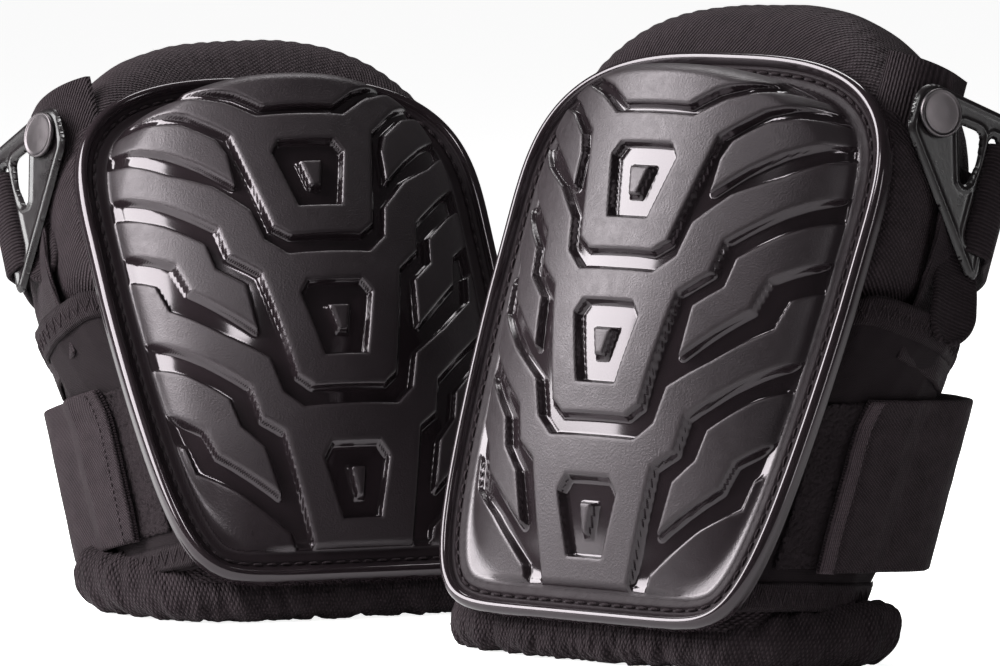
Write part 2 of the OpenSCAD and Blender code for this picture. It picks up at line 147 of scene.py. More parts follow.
def grid_lay(grid, turn=0.0):
    """Distances along the two ways of a grid of points, for the weave."""
    du = np.linalg.norm(np.diff(grid, axis=0), axis=2)
    dv = np.linalg.norm(np.diff(grid, axis=1), axis=2)
    u = np.concatenate([np.zeros((1, grid.shape[1])), np.cumsum(du, 0)])
    v = np.concatenate([np.zeros((grid.shape[0], 1)), np.cumsum(dv, 1)], 1)
    u = np.broadcast_to(u.mean(1)[:, None], u.shape)
    c, s = math.cos(math.radians(turn)), math.sin(math.radians(turn))
    return np.stack([c * u + s * v, c * v - s * u, 0 * u], -1)


def normals_of(grid, wrap=False):
    if wrap:
        dv = np.roll(grid, -1, 1) - np.roll(grid, 1, 1)
    else:
        dv = np.gradient(grid, axis=1)
    n = np.cross(np.gradient(grid, axis=0), dv)
    return n / np.maximum(np.linalg.norm(n, axis=2, keepdims=True), 1e-9)


def pillow(grid, thick, edge=None, turn=0.0):
    """Closed sheet of this thickness about a grid of points, with rounded edges all round."""
    rows, cols = grid.shape[:2]
    edge = edge or thick / 2
    lay = grid_lay(grid, turn)
    flat = grid_lay(grid)
    u, v = flat[..., 0], flat[..., 1]
    e = np.minimum(np.minimum(u, u[-1:] - u), np.minimum(v, v[:, -1:] - v))
    e = np.clip(e / edge, 0, 1)
    half = (thick / 2) * np.sqrt(np.clip(1 - (1 - e) ** 2, 0, 1))
    n = normals_of(grid) * half[..., None]
    a, b = grid + n, grid - n
    q = quads_of(rows, cols)
    points = np.concatenate([a.reshape(-1, 3), b.reshape(-1, 3)])
    quads = np.concatenate([q, q[:, ::-1] + rows * cols])
    # the two faces share their border
    idx = np.arange(rows * cols).reshape(rows, cols)
    border = np.zeros((rows, cols), bool)
    border[0], border[-1], border[:, 0], border[:, -1] = True, True, True, True
    remap = np.arange(2 * rows * cols)
    remap[rows * cols + idx[border]] = idx[border]
    quads = remap[quads]
    return points, quads, np.concatenate([lay.reshape(-1, 3)] * 2)


def edged(values, edge_lo, edge_hi, steps=4):
    """Adds closely spaced values at both ends of a range, so that an edge can be round."""
    lo, hi = values[0], values[-1]
    extra = np.linspace(0, 1, steps + 1)[1:] ** 1.6
    return np.unique(np.round(np.concatenate(
        [values, lo + edge_lo * extra, hi - edge_hi * extra]), 4))


def polygon_distance(x, y, polygon):
    """Signed distance to a polygon's edge: plus inside, minus outside."""
    p = np.asarray(polygon, float)
    best = np.full(x.shape, 1e9)
    inside = np.zeros(x.shape, bool)
    for (ax, ay), (bx, by) in zip(p, np.roll(p, -1, 0)):
        ex, ey = bx - ax, by - ay
        t = np.clip(((x - ax) * ex + (y - ay) * ey) / (ex * ex + ey * ey), 0, 1)
        best = np.minimum(best, (x - ax - t * ex) ** 2 + (y - ay - t * ey) ** 2)
        if by != ay:
            cross = ((ay > y) != (by > y)) & (x < ex * (y - ay) / ey + ax)
            inside ^= cross
    return np.where(inside, 1, -1) * np.sqrt(best)


def bumps(s, t, seed, scale, octaves=3):
    """Smooth repeatable unevenness made of a few waves, about -1 to 1."""
    rng = np.random.default_rng(seed)
    out = np.zeros(np.broadcast(s, t).shape)
    for k in range(octaves * 4):
        a = rng.uniform(0, 2 * math.pi)
        f = (2 ** (k // 4)) / scale * rng.uniform(0.7, 1.4)
        out += np.sin(2 * math.pi * f * (s * math.cos(a) + t * math.sin(a))
                      + rng.uniform(0, 6.28)) / (2 ** (k // 4))
    return out / 4


def tubes(paths, radius, sides=7):
    """One mesh of closed round threads along several short paths."""
    pts, quads, base = [], [], 0
    angle = np.linspace(0, 2 * math.pi, sides, endpoint=False)
    for path in paths:
        path = np.asarray(path, float)
        d = np.gradient(path, axis=0)
        d /= np.maximum(np.linalg.norm(d, axis=1, keepdims=True), 1e-9)
        up = np.where(np.abs(d[:, :1]) < 0.8, [[1.0, 0, 0]], [[0, 0, 1.0]])
        a = np.cross(d, up)
        a /= np.linalg.norm(a, axis=1, keepdims=True)
        b = np.cross(d, a)
        n = len(path)
        end = np.minimum(np.arange(n), np.arange(n)[::-1]) / max(1.0, min(2.0, n / 3))
        r = radius * np.sqrt(np.clip(1 - (1 - np.clip(end, 0, 1)) ** 2, 0.02, 1))
        ring = (path[:, None] + r[:, None, None] * (np.cos(angle)[None, :, None] * a[:, None]
                                                  + np.sin(angle)[None, :, None] * b[:, None]))
        pts.append(ring.reshape(-1, 3))
        quads.append(quads_of(n, sides, True) + base)
        base += n * sides
    return np.concatenate(pts), np.concatenate(quads)


def stitches(line, normal, pitch, length, sway=0.0, lift=0.35):
    """Thread paths along a line: short dashes, or a zigzag where sway is the half width."""
    line = np.asarray(line, float)
    total = np.linalg.norm(np.diff(line, axis=0), axis=1).sum()
    count = max(2, int(total / pitch))
    fine = resample(np.hstack([line, normal]), count * 8 + 1)
    p, n = fine[:, :3], fine[:, 3:]
    n = n / np.maximum(np.linalg.norm(n, axis=1, keepdims=True), 1e-9)
    d = np.gradient(p, axis=0)
    d /= np.maximum(np.linalg.norm(d, axis=1, keepdims=True), 1e-9)
    side = np.cross(n, d)
    paths = []
    for k in range(count):
        lo = k * 8
        use = np.arange(lo, lo + 9) if sway else np.arange(lo, lo + 1 + int(8 * length / pitch))
        f = np.linspace(0, 1, len(use))
        w = (sway * (1 - 2 * f) * (1 if k % 2 else -1)) if sway else 0 * f
        arch = lift * np.sin(math.pi * f) ** 0.5
        paths.append(p[use] + side[use] * w[:, None] + n[use] * (arch - 0.12)[:, None])
    return paths


# ---------------------------------------------------------------- materials
def material(name):
    m = bpy.data.materials.new(name)
    m.use_nodes = True
    nodes, links = m.node_tree.nodes, m.node_tree.links
    return m, nodes, links, nodes["Principled BSDF"]


def node(nodes, kind, **values):
    n = nodes.new(kind)
    for k, v in values.items():
        setattr(n, k, v)
    return n


def ramp(nodes, links, source, stops):
    r = node(nodes, "ShaderNodeValToRGB")
    while len(r.color_ramp.elements) < len(stops):
        r.color_ramp.elements.new(0.5)
    for e, (at, c) in zip(r.color_ramp.elements, stops):
        e.position = at
        e.color = (c[0], c[1], c[2], 1)
    links.new(source, r.inputs["Fac"])
    return r.outputs["Color"]


def span(nodes, links, source, lo, hi, a=0.0, b=1.0):
    r = node(nodes, "ShaderNodeMapRange")
    r.inputs["From Min"].default_value = lo
    r.inputs["From Max"].default_value = hi
    r.inputs["To Min"].default_value = a
    r.inputs["To Max"].default_value = b
    links.new(source, r.inputs["Value"])
    return r.outputs["Result"]


def noise(nodes, links, vector, scale, detail=3.0, rough=0.55):
    n = node(nodes, "ShaderNodeTexNoise")
    n.inputs["Scale"].default_value = scale
    n.inputs["Detail"].default_value = detail
    n.inputs["Roughness"].default_value = rough
    links.new(vector, n.inputs["Vector"])
    return n.outputs["Fac"]


def maths(nodes, links, op, a, b):
    n = node(nodes, "ShaderNodeMath", operation=op)
    for k, v in enumerate((a, b)):
        if isinstance(v, (int, float)):
            n.inputs[k].default_value = v
        else:
            links.new(v, n.inputs[k])
    return n.outputs[0]


def place_vector(nodes):
    return node(nodes, "ShaderNodeTexCoord").outputs["Object"]


def cap_material():
    """Moulded black polymer: fine grain on the tread plates, gloss in the grooves."""
    m, n, l, bsdf = material("cap_polymer")
    at = place_vector(n)
    zone = node(n, "ShaderNodeAttribute", attribute_name="plate").outputs["Fac"]
    plate = maths(n, l, "MINIMUM", zone, 1.0)
    l.new(span(n, l, zone, 1, 2, 0.55, 0.10), bsdf.inputs["Specular IOR Level"])
    grain = noise(n, l, at, 1500.0, 2.0, 0.6)
    broad = noise(n, l, at, 28.0, 4.0, 0.6)
    scuff = noise(n, l, at, 260.0, 5.0, 0.7)
    tone = ramp(n, l, broad, [(0.3, (0.0110, 0.0078, 0.0092)), (0.7, (0.0165, 0.0120, 0.0140))])
    l.new(tone, bsdf.inputs["Base Color"])
    rough_plate = span(n, l, scuff, 0.3, 0.7, 0.40, 0.52)
    gap = maths(n, l, "SUBTRACT", rough_plate, 0.115)
    part = maths(n, l, "MULTIPLY", plate, gap)
    l.new(maths(n, l, "ADD", part, 0.115), bsdf.inputs["Roughness"])
    bump = node(n, "ShaderNodeBump")
    bump.inputs["Distance"].default_value = 0.00022
    l.new(maths(n, l, "MULTIPLY", plate, 0.55), bump.inputs["Strength"])
    l.new(grain, bump.inputs["Height"])
    l.new(bump.outputs["Normal"], bsdf.inputs["Normal"])
    bsdf.inputs["Specular Tint"].default_value = (1.0, 0.92, 0.97, 1)
    return m


def fabric(name, low, high, pitch, kind="twill", rough=0.8, sheen=0.08, depth=0.0003, fuzz=0.0,
           spec=0.16):
    """Woven cloth from the piece's own lay: pitch is the thread spacing in millimetres."""
    m, n, l, bsdf = material(name)
    lay = node(n, "ShaderNodeAttribute", attribute_name="lay").outputs["Vector"]
    at = place_vector(n)
    warp = noise(n, l, lay, 0.12, 2.0)
    wobble = node(n, "ShaderNodeVectorMath", operation="SCALE")
    wobble.inputs["Scale"].default_value = 0.35 * pitch
    jitter = node(n, "ShaderNodeTexNoise")
    jitter.inputs["Scale"].default_value = 0.6 / pitch
    l.new(lay, jitter.inputs["Vector"])
    l.new(jitter.outputs["Color"], wobble.inputs[0])
    moved = node(n, "ShaderNodeVectorMath", operation="ADD")
    l.new(lay, moved.inputs[0])
    l.new(wobble.outputs["Vector"], moved.inputs[1])

    def bands(angle, step, profile="SIN"):
        turn = node(n, "ShaderNodeMapping")
        turn.inputs["Rotation"].default_value = (0, 0, math.radians(angle))
        l.new(moved.outputs["Vector"], turn.inputs["Vector"])
        w = node(n, "ShaderNodeTexWave", wave_type="BANDS", bands_direction="X",
                 wave_profile=profile)
        w.inputs["Scale"].default_value = 0.314159 / step
        w.inputs["Distortion"].default_value = 0.0
        l.new(turn.outputs["Vector"], w.inputs["Vector"])
        return w.outputs["Fac"]

    if kind == "twill":
        height = maths(n, l, "MULTIPLY", bands(38, pitch),
                       span(n, l, bands(-62, pitch * 1.15), 0, 1, 0.55, 1.0))
    elif kind == "rib":
        height = maths(n, l, "MULTIPLY", bands(0, pitch),
                       span(n, l, bands(90, pitch * 1.6), 0, 1, 0.7, 1.0))
    elif kind == "plain":
        height = maths(n, l, "MAXIMUM", bands(0, pitch), bands(90, pitch))
    elif kind == "mesh":
        height = maths(n, l, "MULTIPLY", bands(32, pitch), bands(-32, pitch))
    else:
        height = noise(n, l, lay, 1.0 / pitch, 4.0, 0.7)
    fibres = noise(n, l, at, 5200.0, 3.0, 0.7)
    height = maths(n, l, "ADD", height, maths(n, l, "MULTIPLY", fibres, 0.25 + fuzz))
    shade = maths(n, l, "ADD", maths(n, l, "MULTIPLY", height, 0.65),
                  maths(n, l, "MULTIPLY", warp, 0.5))
    l.new(ramp(n, l, shade, [(0.15, low), (0.95, high)]), bsdf.inputs["Base Color"])
    l.new(span(n, l, shade, 0, 1, min(1.0, rough + 0.1), rough - 0.08), bsdf.inputs["Roughness"])
    bump = node(n, "ShaderNodeBump")
    bump.inputs["Strength"].default_value = 0.95
    bump.inputs["Distance"].default_value = depth
    l.new(height, bump.inputs["Height"])
    l.new(bump.outputs["Normal"], bsdf.inputs["Normal"])
    bsdf.inputs["Sheen Weight"].default_value = sheen
    bsdf.inputs["Sheen Roughness"].default_value = 0.5
    bsdf.inputs["Sheen Tint"].default_value = (1.0, 0.86, 0.92, 1)
    bsdf.inputs["Specular Tint"].default_value = (1.0, 0.82, 0.9, 1)
    bsdf.inputs["Specular IOR Level"].default_value = spec
    return m


def hard(name, low, high, rough, metallic=0.0, grain=900.0, depth=0.0001, coat=0.0):
    m, n, l, bsdf = material(name)
    at = place_vector(n)
    broad = noise(n, l, at, 90.0, 4.0, 0.65)
    fine = noise(n, l, at, grain, 3.0, 0.6)
    l.new(ramp(n, l, broad, [(0.3, low), (0.7, high)]), bsdf.inputs["Base Color"])
    l.new(span(n, l, broad, 0.3, 0.7, rough, rough + 0.12), bsdf.inputs["Roughness"])
    bump = node(n, "ShaderNodeBump")
    bump.inputs["Strength"].default_value = 0.35
    bump.inputs["Distance"].default_value = depth
    l.new(fine, bump.inputs["Height"])
    l.new(bump.outputs["Normal"], bsdf.inputs["Normal"])
    bsdf.inputs["Metallic"].default_value = metallic
    bsdf.inputs["Coat Weight"].default_value = coat
    bsdf.inputs["Coat Roughness"].default_value = 0.12
    return m


def tint(value):
    """Near-black with the slight warm cast of the dyed cloth."""
    return (value, value * 0.74, value * 0.85)


MATS = {
    "cap": cap_material(),
    "oxford": fabric("nylon_oxford", tint(0.0012), tint(0.030), 1.15, "twill", 0.66, 0.02, 0.0007),
    "gusset": fabric("nylon_twill", tint(0.0012), tint(0.024), 0.9, "twill", 0.7, 0.02, 0.0006),
    "neoprene": fabric("neoprene_face", tint(0.0012), tint(0.007), 0.55, "plain", 0.9, 0.02,
                       0.00015, 0.1),
    "tape": fabric("binding_tape", tint(0.0015), tint(0.016), 0.8, "rib", 0.75, 0.02, 0.0004),
    "elastic": fabric("strap_elastic", tint(0.0016), tint(0.034), 0.85, "twill", 0.8, 0.02, 0.0005),
    # lighter copy of the strap elastic, used only on the right pad's folded end: painted light, as
    # the left pad's fold uses the elastic itself
    "fold": fabric("strap_fold_painted_light", tint(0.010), tint(0.060), 0.8, "rib", 0.85, 0.1, 0.0004),
    "loop": fabric("loop_pile", tint(0.001), tint(0.018), 1.0, "pile", 0.92, 0.03, 0.0010, 0.6),
    "webbing": fabric("pile_webbing", tint(0.0012), tint(0.017), 1.3, "rib", 0.88, 0.02, 0.0007,
                      0.3),
    "mesh": fabric("knit_mesh", tint(0.001), tint(0.034), 1.6, "mesh", 0.75, 0.02, 0.0008),
    "thread": fabric("thread", tint(0.004), tint(0.026), 0.5, "rib", 0.75, 0.05, 0.0002),
    "foam": fabric("cell_foam", (0.05, 0.05, 0.055), (0.12, 0.12, 0.13), 0.8, "pile", 0.9, 0.1,
                   0.0003),
    "gel": hard("blue_gel", (0.02, 0.09, 0.36), (0.04, 0.15, 0.5), 0.2, 0, 300.0, 0.0002, 0.3),
    "hook": fabric("hook_tape", tint(0.002), tint(0.03), 0.9, "pile", 0.85, 0.05, 0.0006),
    "clip": hard("clip_polymer", tint(0.006), tint(0.010), 0.24, 0, 700.0, 0.00012),
    "stud": hard("gunmetal", (0.085, 0.076, 0.080), (0.10, 0.090, 0.094), 0.3, 1.0, 2500.0,
                 0.00003),
}

# ---------------------------------------------------------------- the cap
TREAD = [
    [(-5, 169.2), (13, 169.2), (21.5, 175.3), (36, 181.5), (34, 186), (24, 190.5), (-5, 193)],
    [(-5, 165.4), (16, 165.4), (25.5, 172.2), (40, 178.8), (58, 184), (62, 181), (51, 178.2),
     (38, 170.7), (26, 159.5), (18, 122), (13, 118.2), (-5, 118.2)],
    [(66, 176), (55, 174), (40.5, 167.3), (31, 158.5), (28.5, 152), (28, 140.3), (37, 149.5),
     (46, 157.5), (60, 168.3), (69, 170)],
    [(-5, 111.2), (15, 111.2), (22, 117.5), (24.7, 129.3), (35, 140.7), (48, 149.5), (62, 163),
     (76, 166), (76, 154), (63.5, 150.5), (50.5, 139), (36.3, 125), (34.2, 113.8), (25.2, 105.7),
     (17.7, 68.3), (13, 64.4), (-5, 64.4)],
    [(76, 150), (63.5, 141.5), (52, 131), (41.2, 120), (39.5, 110), (31, 102), (29.5, 85.5),
     (48, 104.5), (51, 116), (63.5, 128), (76, 134)],
    [(-5, 57.2), (17, 57.2), (23.5, 63), (26.7, 75), (40, 85.5), (55, 100), (57.5, 111),
     (63.5, 117.5), (76, 124), (76, 101), (62.5, 94), (50, 82), (34, 67), (31.5, 55.3),
     (24.5, 50), (16.8, 9), (16, -5), (-5, -5)],
    [(76, 92), (62, 83.3), (53, 75.5), (41.5, 63.7), (39, 53.7), (32, 45.7), (28.2, 29.5),
     (47, 46.3), (50.2, 55.5), (61, 66.8), (76, 76)],
    [(76, 64), (60, 55.5), (56.5, 51.5), (54.5, 41.7), (42, 32), (26, 16.6), (24.4, 9), (24, -5),
     (76, -5)],
]
RECESS = [[(-8, 129), (8, 129), (13.3, 150.5), (10.3, 155.3), (-10.3, 155.3), (-13.3, 150.5)],
          [(-7.7, 74), (7.7, 74), (13.1, 96.3), (10, 101), (-10, 101), (-13.1, 96.3)],
          [(-7, 20), (7, 20), (12, 40), (8.7, 45), (-8.7, 45), (-12, 40)]]
ISLAND = [[(-2.4, 136), (2.4, 136), (5, 147.5), (-5, 147.5)],
          [(-2.2, 82), (2.2, 82), (4.7, 92.3), (-4.7, 92.3)],
          [(-1.6, 26.5), (1.6, 26.5), (3.4, 37.3), (-3.4, 37.3)]]


def outline(inset, count):
    t = (np.arange(count) + 0.5) * 2 * math.pi / count
    c, s = np.cos(t), np.sin(t)
    power = np.where(s >= 0, 2 / 2.9, 0.25)
    across = np.sign(c) * np.abs(c) ** power
    along = np.abs(s) ** power
    z = np.where(s >= 0, CAP_WIDE_Z + (CAP_H - CAP_WIDE_Z - inset) * along,
                 CAP_WIDE_Z - (CAP_WIDE_Z - inset) * along)
    low = CAP_LOW_W - inset + (CAP_W - CAP_LOW_W) * np.sin(np.radians(90 * z / CAP_WIDE_Z))
    return np.stack([np.where(s >= 0, (CAP_W - inset) * across, low * across), z], 1)


def edge_line(inset, count):
    """The cap's outline moved in square to itself, evenly spaced."""
    base = resample(np.vstack([outline(0, 1440), outline(0, 1440)[:1]]), count + 1)[:-1]
    d = np.roll(base, -1, 0) - np.roll(base, 1, 0)
    d /= np.linalg.norm(d, axis=1, keepdims=True)
    out = base + np.stack([-d[:, 1], d[:, 0]], 1) * inset
    return out


def crown_height(v):
    v = np.asarray(v, float)
    at = [0, 12, 30, 50, 80, 100, 125, 150, 170, 186, 200]
    high = [0.2, 5.3, 12.9, 20.3, 28.8, 32.3, 34.1, 34.6, 35.1, 36.2, 37]
    fine = np.linspace(0, 200, 801)
    smoothed = np.convolve(np.pad(np.interp(fine, at, high), 24, mode="reflect",
                                  reflect_type="odd"), np.ones(49) / 49, "valid")
    return np.interp(v, fine, smoothed)


def dome(u, v, edge):
    """Height of the plates' surface above the flange's back."""
    v = np.clip(v, 0.5, 199.5)
    low = CAP_LOW_W + (CAP_W - CAP_LOW_W) * np.sin(np.pi / 2 * np.clip(v / CAP_WIDE_Z, 0, 1))
    low = low * (1 - np.clip(1 - v / CAP_WIDE_Z, 0, 1) ** 8) ** 0.125
    t = np.clip((v - CAP_WIDE_Z) / (CAP_H - CAP_WIDE_Z), 0, 1)
    half = np.where(v < CAP_WIDE_Z, low, CAP_W * (1 - t ** 2.9) ** (1 / 2.9)) - RIM
    q = np.clip(np.abs(u) / np.maximum(half, 1), 0, 1)
    w = crown_height(v) * np.sqrt(np.clip(1 - q ** 2.04, 0, 1)) - 2.0 * (u / 50) ** 2
    r = 2.5 + 8.5 * smooth((v - 140) / 40)
    e = np.clip(edge / r, 0, 1)
    w = w * np.sqrt(np.clip(1 - (1 - e) ** 2, 0, 1)) - np.where(edge < 0, 4.0, 0.0)
    return w


def relief(u, v):
    """Signed distance to the tread's edges, plus on a plate."""
    a = np.abs(u)
    d = np.full(u.shape, -50.0)
    for shape in TREAD:
        d = np.maximum(d, polygon_distance(a, v, shape))
    for hole, isle in zip(RECESS, ISLAND):
        inner = polygon_distance(u, v, isle)
        d = np.minimum(d, np.maximum(-polygon_distance(u, v, hole), inner - 1.0))
    return d


def cap_field():
    step = 0.6
    u, v = np.meshgrid(np.arange(-70, 70 + step / 2, step), np.arange(4, 196, step),
                       indexing="ij")
    edge = polygon_distance(u, v, edge_line(RIM, 240))
    d = relief(u, v)
    drop = TREAD_H - np.interp(d, [-1.3, -1.0, -0.15, 0.15, 0.9],
                               [0, 0.15, TREAD_H - 0.42, TREAD_H - 0.16, TREAD_H])
    w = dome(u, v, edge) - drop * np.clip(edge / 3, 0, 1)
    floor = 2.2
    w = 0.5 * (w + floor + np.sqrt((w - floor) ** 2 + 1.2)) - 0.2 * (edge < -1.2)
    keep = edge > -2.9
    q = quads_of(*u.shape)
    q = q[keep.ravel()[q].all(1)]
    used = np.unique(q)
    remap = np.zeros(u.size, np.int64)
    remap[used] = np.arange(len(used))
    points = np.stack([u.ravel(), -w.ravel(), v.ravel()], 1)[used]
    mask = (smooth((d + 0.4) / 0.8) * smooth(edge / 1.5)).ravel()[used]
    corner = smooth((polygon_distance(np.abs(u), v, TREAD[-1]) + 0.5) / 1.0).ravel()[used]
    skirt = (2.0 * smooth((0.8 - edge) / 1.2)).ravel()[used]
    return points, remap[q], np.maximum(mask * (1 - 0.45 * corner), skirt)


def flange_ring():
    count = 520
    inset = [0.25, 0.0, 0.25, 0.9, 1.8, 2.6, 3.4, 4.1, 4.55, 4.8, 5.5, 5.9, 6.3, 6.9, 7.3, 7.7,
             8.4, 9.6, 11.4]
    height = [0.0, 1.4, 3.0, 4.1, 4.75, 4.8, 4.4, 3.5, 2.6, 2.25, 2.2, 2.0, 1.5, 1.5, 2.0, 2.2,
              2.2, 2.2, 2.15]
    rows = []
    for i, h in zip(inset, height):
        line = edge_line(i, count)
        rows.append(np.stack([line[:, 0], np.full(count, -h), line[:, 1]], 1))
    rows.insert(0, rows[0] + [0, 1.2, 0])
    grid = np.array(rows)
    gloss = np.zeros(grid.shape[:2])
    gloss[9:] = 2.0
    return grid.reshape(-1, 3), quads_of(len(rows), count, True), gloss.ravel()


FIELD = cap_field()
RING = flange_ring()


def build_cap(pad):
    base = len(FIELD[0])
    points = np.vstack([FIELD[0], RING[0]])
    quads = np.vstack([FIELD[1], RING[1][:, ::-1] + base])
    mask = np.concatenate([FIELD[2], RING[2]])
    cap = piece("cap", pad, points, quads, MATS["cap"], mask=mask)
    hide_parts(pad + "_cap_shell")
    line = edge_line(6.6, 400)
    line = np.stack([line[:, 0], np.full(400, -1.75), line[:, 1]], 1)
    line = np.vstack([line, line[:1]])
    normal = np.tile([0.0, -1.0, 0.0], (401, 1))
    p, q = tubes(stitches(line, normal, 5.0, 3.9, 0, 0.5), 0.5)
    sewn = piece("cap_thread", pad, p, q, MATS["thread"], lay=p)
    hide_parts(pad + "_cap_stitches")
    # firm block behind the shell
    u, v = np.meshgrid(np.linspace(-58, 58, 40), np.linspace(14, 184, 56), indexing="ij")
    e = polygon_distance(u, v, edge_line(RIM + 4, 120))
    w = np.clip(dome(u, v, e) - 7, 0.5, None)
    grid = np.stack([u, -w, v], 2)
    n = grid.shape[0] * grid.shape[1]
    back = grid * [1, 0, 1] + [0, -0.3, 0]
    q = quads_of(*u.shape)
    core = piece("cap_block", pad, np.concatenate([grid.reshape(-1, 3), back.reshape(-1, 3)]),
                 np.concatenate([q, q[:, ::-1] + n]), MATS["foam"],
                 lay=np.concatenate([grid.reshape(-1, 3)] * 2))
    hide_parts(pad + "_cap_core")


# ---------------------------------------------------------------- soft body
def crown_outline(count):
    """Front view of the padded body's edge: up one side, over the crown, down the other."""
    half, foot, shoulder, rise = 75.5, 100.0, 148.0, 75.5
    t = np.linspace(0, math.pi, 200)
    c, s = np.cos(t), np.sin(t)
    x = half * np.sign(c) * np.abs(c) ** (2 / 2.5)
    z = shoulder + rise * np.abs(s) ** (2 / 2.5)
    arc = np.stack([x, z], 1)
    return resample(np.vstack([[[half, foot]], arc, [[-half, foot]]]), count)


def build_cover(pad, seed):
    count, across = ((300, 64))
    profile = spline([(27, 0.9), (17, 1.2), (8.5, 3.2), (3, 9), (0, 20), (1.2, 33), (4.5, 44),
                      (10, 52), (18, 57), (25, 58.5)], across)
    line = crown_outline(count)
    d = np.gradient(line, axis=0)
    d /= np.linalg.norm(d, axis=1, keepdims=True)
    n = np.stack([-d[:, 1], d[:, 0]], 1)
    s = np.linspace(0, 1, count)[:, None]
    inset, y = profile[:, 0][None], profile[:, 1][None]
    puff = 1.0 * bumps(s * 400, y * 1.5, seed, 90) * smooth(y / 12)
    pucker = 0.5 * np.sin(s * 400 / 7.0 * 2 * math.pi) * np.exp(-((y - 5.5) / 3.5) ** 2)
    low = 14.0 * smooth((134 - line[:, 1]) / 26)[:, None]
    total = inset - puff - pucker + low
    grid = np.stack([line[:, 0][:, None] + n[:, 0][:, None] * total,
                     y + 0 * total + 0.6 * pucker,
                     line[:, 1][:, None] + n[:, 1][:, None] * total], 2)
    grid = grid[:, ::-1]
    cover = piece("crown", pad, grid, quads_of(*grid.shape[:2]), MATS["oxford"],
                  lay=grid_lay(grid))
    solid = cover.modifiers.new("thickness", "SOLIDIFY")
    solid.thickness = 0.0014
    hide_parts(pad + "_front_cover")


def side_x(y, z, top, hem):
    """How far out the wing's face is, at a distance back and a height."""
    y, z = np.broadcast_arrays(np.asarray(y, float), np.asarray(z, float))
    at = [0, 3, 9, 15, 22, 30, 42, 55, 64, 74]
    high = np.interp(y, at, [60, 66, 74, 78.5, 82, 84.5, 84.5, 78, 71, 64])
    belt = np.interp(y, at, [57, 60, 62.3, 63.5, 65, 67.5, 70, 68.5, 63, 56])
    low = np.interp(y, at, [56, 58.5, 62, 64.5, 67, 69.5, 70.5, 66, 59, 51])
    up = smooth((z - 66 - 0.3 * y) / 56)
    down = smooth((42 + 0.25 * y - z) / 26)
    t = np.clip((z - hem) / np.maximum(top - hem, 1), 0, 1)
    return belt + (high - belt) * up + (low - belt) * down + 1.6 * np.sin(math.pi * t) ** 2


def wing_grid(side, y0, y1, rows, cols, lo, hi, edge=0.0):
    """Grid over the wing from y0 to y1; lo and hi give the strip's heights at each y."""
    ys = np.linspace(y0, y1, rows)
    if edge:
        ys = edged(ys, edge, edge)
    ts = np.linspace(0, 1, cols)
    if edge:
        ts = edged(ts, edge / 60, edge / 60)
    y, t = np.meshgrid(ys, ts, indexing="ij")
    z = lo(y) + (hi(y) - lo(y)) * t
    x = side_x(y, z, WING_TOP(y), WING_HEM(y))
    return np.stack([side * x, y, z], 2)


def WING_TOP(y):
    return 122 + np.asarray(y) * math.tan(math.radians(4)) - 5 * smooth((12 - y) / 12)


def WING_HEM(y):
    return 9 + np.asarray(y) * math.tan(math.radians(20))


def STRAP_MID(y):
    return 52 + np.asarray(y) * math.tan(math.radians(21))


def grow(grid, extra):
    """Moves a grid out along its normals, taking them as pointing away from the body."""
    n = normals_of(grid)
    sign = np.sign((n * grid * [1, 0, 0]).sum())
    return grid + n * sign * np.asarray(extra)[..., None]


def build_side(pad, side, label, seed):
    rows, cols = ((64, 80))
    # wing: padded neoprene
    g = wing_grid(side, 1.5, 70, rows, cols, WING_HEM, WING_TOP, 3)
    s = grid_lay(g)
    g = grow(g, -2.4 + 0.5 * bumps(s[..., 0], s[..., 1], seed, 45))
    p, q, lay = pillow(g, 5.0, 3.2)
    wing = piece(label + "_wing_panel", pad, p, q, MATS["neoprene"], lay=lay)
    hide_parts(f"{pad}_{label}_wing")
    # gusset between the crown and the wing
    ys, zs = np.linspace(24, 59, rows), np.linspace(106, 178, cols)
    y, z = np.meshgrid(ys, zs, indexing="ij")
    t = (z - 106) / 72
    x = 77.4 + 2.4 * np.sin(math.pi * np.clip(t, 0, 1)) - 6.5 * smooth((y - 44) / 18) \
        - 4.5 * smooth((z - 150) / 36) + 0.7 * bumps(y, z, seed + 5, 40)
    g = np.stack([side * x, y, z], 2)
    p, q, lay = pillow(g, 1.8, 1.0, 35)
    gusset = piece(label + "_gusset_panel", pad, p, q, MATS["gusset"], lay=lay)
    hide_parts(f"{pad}_{label}_gusset")
    # bindings with zigzag stitching
    for part, lo, hi in (("wing_binding", lambda y: WING_TOP(y) - 10.5,
                          lambda y: WING_TOP(y) - 0.2),
                         ("hem_binding", lambda y: WING_HEM(y) + 0.2, lambda y: WING_HEM(y) + 10)):
        g = wing_grid(side, 3, 70, rows, 9, lo, hi)
        s = grid_lay(g)
        g = grow(g, 0.55 + 0.25 * bumps(s[..., 0], s[..., 1], seed + 9, 14))
        p, q, lay = pillow(g, 1.2, 0.7)
        tape = piece(f"{label}_{part}_tape", pad, p, q, MATS["tape"], lay=lay)
        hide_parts(f"{pad}_{label}_{part}")
        line = g[:, 4]
        normal = normals_of(g)[:, 4]
        normal = normal * np.sign((normal * line * [1, 0, 0]).sum())
        p, q = tubes(stitches(line + normal * 0.55, normal, 2.2, 2.2, 3.0), 0.24, 5)
        sewn = piece(f"{label}_{part}_thread", pad, p, q, MATS["thread"], lay=p)
        sewn.parent = tape
        sewn.matrix_parent_inverse = tape.matrix_world.inverted()


